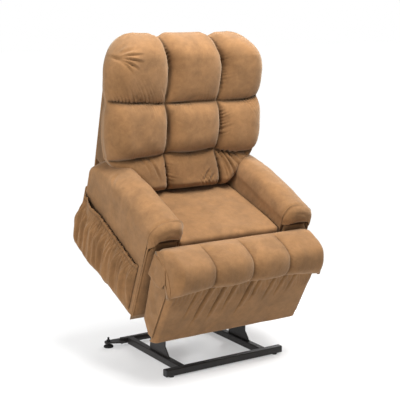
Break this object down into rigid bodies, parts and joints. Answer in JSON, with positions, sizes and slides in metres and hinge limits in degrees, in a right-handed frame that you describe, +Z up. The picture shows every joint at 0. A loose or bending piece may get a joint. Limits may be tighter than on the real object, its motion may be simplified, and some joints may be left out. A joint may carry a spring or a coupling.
{
  "type": "lift recliner chair",
  "caption": "Upholstered armchair on a powered floor frame that tilts the sitter up to standing, with a folding footrest, a reclining tufted back and side pouches.",
  "frame": {"origin": "centre of the bounding box at floor level, with the chair fully raised", "axes": "+Z up; the sitter faces -Y; +X is the sitter's left"},
  "size_m": [0.948, 0.8762, 1.4659],
  "materials": {
    "tan_microsuede": "brushed microsuede",
    "black_steel": "black powder coat",
    "zinc_steel": "zinc plated",
    "bright_steel": "polished rod",
    "black_plastic": "moulded plastic",
    "grey_plastic": "moulded plastic",
    "button_grey": "moulded plastic",
    "foot_rubber": "moulded rubber",
    "frame_wood": "sawn plywood"
  },
  "bodies": {
    "base": {"base_front_bar": "black_steel", "bar_end_caps": "black_plastic", "base_side_rails": "black_steel", "base_rear_tube": "black_steel", "foot_brackets": "black_steel", "levelling_feet": "foot_rubber", "front_glides": "foot_rubber", "lift_plates": "black_steel", "motor_bracket": "black_steel", "base_pivot_pins": "zinc_steel"},
    "front_lift_links": {"front_lift_links": "black_steel", "lift_torque_tube": "black_steel", "lift_lever": "black_steel"},
    "rear_lift_links": {"rear_lift_links": "black_steel", "rear_link_tube": "black_steel"},
    "motor_housing": {"motor_gearbox": "black_plastic", "motor_tube": "grey_plastic", "motor_can": "black_plastic"},
    "motor_rod": {"motor_rod": "bright_steel"},
    "chair": {"lift_frame_plates": "black_steel", "frame_cross_tubes": "black_steel", "chair_pivot_pins": "zinc_steel", "seat_front_rail": "frame_wood", "seat_rear_rail": "frame_wood", "seat_side_rails": "frame_wood", "seat_springs": "zinc_steel", "seat_cushion": "tan_microsuede", "arm_body_right": "tan_microsuede", "arm_body_left": "tan_microsuede", "arm_pad_right": "tan_microsuede", "arm_pad_left": "tan_microsuede", "arm_front_panels": "tan_microsuede", "side_pouch_right": "tan_microsuede", "side_pouch_left": "tan_microsuede", "hand_control": "black_plastic", "lower_back_panel": "tan_microsuede", "power_supply": "black_plastic", "mains_inlet": "black_plastic", "footrest_hangers": "black_steel", "back_hinge_brackets": "black_steel"},
    "raise_button": {"raise_button": "button_grey"},
    "lower_button": {"lower_button": "button_grey"},
    "footrest_long_links": {"footrest_long_links": "black_steel", "footrest_torque_tube": "black_steel", "footrest_long_link_pins": "zinc_steel"},
    "footrest_front_links": {"footrest_front_links": "black_steel", "footrest_front_link_pins": "zinc_steel"},
    "footrest_support_links": {"footrest_support_links": "black_steel"},
    "footrest": {"footrest_board": "frame_wood", "footrest_shelf": "frame_wood", "footrest_brackets": "black_steel", "footrest_gathered_panel": "tan_microsuede", "footrest_pad": "tan_microsuede", "footrest_side_flaps": "tan_microsuede"},
    "backrest": {"back_frame_stiles": "frame_wood", "back_frame_rails": "frame_wood", "back_cushion": "tan_microsuede", "back_outer_panel": "tan_microsuede", "back_side_panels": "tan_microsuede"}
  },
  "joints": [
    {"name": "lift", "type": "hinge", "parent": "base", "child": "front_lift_links", "pos_m": [0, -0.03206, 0.12], "axis": [1, 0, 0], "range_deg": [-66.3, 0]},
    {"name": "chair_on_front_links", "type": "hinge", "parent": "front_lift_links", "child": "chair", "pos_m": [0, 0.12163, 0.33976], "axis": [1, 0, 0], "range_deg": [0, 43.35]},
    {"name": "rear_links_on_base", "type": "hinge", "parent": "base", "child": "rear_lift_links", "pos_m": [0, 0.05594, 0.15], "axis": [1, 0, 0], "range_deg": [-55.72, 0]},
    {"name": "motor_on_base", "type": "hinge", "parent": "base", "child": "motor_housing", "pos_m": [0, 0.20594, 0.075], "axis": [1, 0, 0], "range_deg": [-24.22, 0]},
    {"name": "rod_on_lever", "type": "hinge", "parent": "front_lift_links", "child": "motor_rod", "pos_m": [0, -0.16804, 0.18331], "axis": [1, 0, 0], "range_deg": [0, 42.18]},
    {"name": "footrest_swing", "type": "hinge", "parent": "chair", "child": "footrest_long_links", "pos_m": [0, -0.04482, 0.47594], "axis": [1, 0, 0], "range_deg": [-65, 0]},
    {"name": "front_links_on_long_links", "type": "hinge", "parent": "footrest_long_links", "child": "footrest_front_links", "pos_m": [0, 0.00926, 0.30951], "axis": [1, 0, 0], "range_deg": [0, 100.05]},
    {"name": "footrest_on_front_links", "type": "hinge", "parent": "footrest_front_links", "child": "footrest", "pos_m": [0, -0.27077, 0.44521], "axis": [1, 0, 0], "range_deg": [-120.05, 0]},
    {"name": "support_links_on_chair", "type": "hinge", "parent": "chair", "child": "footrest_support_links", "pos_m": [0, 0.01689, 0.47389], "axis": [1, 0, 0], "range_deg": [-61.62, 0]},
    {"name": "recline", "type": "hinge", "parent": "chair", "child": "backrest", "pos_m": [0, 0.28193, 0.79388], "axis": [1, 0, 0], "range_deg": [-38, 0]},
    {"name": "raise_button_press", "type": "slide", "parent": "chair", "child": "raise_button", "axis": [1, 0, 0], "range_m": [0, 0.0015], "stiffness_N_per_m": 300, "springref_m": -0.002},
    {"name": "lower_button_press", "type": "slide", "parent": "chair", "child": "lower_button", "axis": [1, 0, 0], "range_m": [0, 0.0015], "stiffness_N_per_m": 300, "springref_m": -0.002}
  ],
  "couplings": [
    {"joint": "chair_on_front_links", "follows": "lift", "ratio": -0.65309},
    {"joint": "rear_links_on_base", "follows": "lift", "ratio": 0.83963},
    {"joint": "motor_on_base", "follows": "lift", "ratio": 0.36459},
    {"joint": "rod_on_lever", "follows": "lift", "ratio": -0.63541},
    {"joint": "front_links_on_long_links", "follows": "footrest_swing", "ratio": -1.5385},
    {"joint": "footrest_on_front_links", "follows": "footrest_swing", "ratio": 1.8462},
    {"joint": "support_links_on_chair", "follows": "footrest_swing", "ratio": 0.94716}
  ]
}
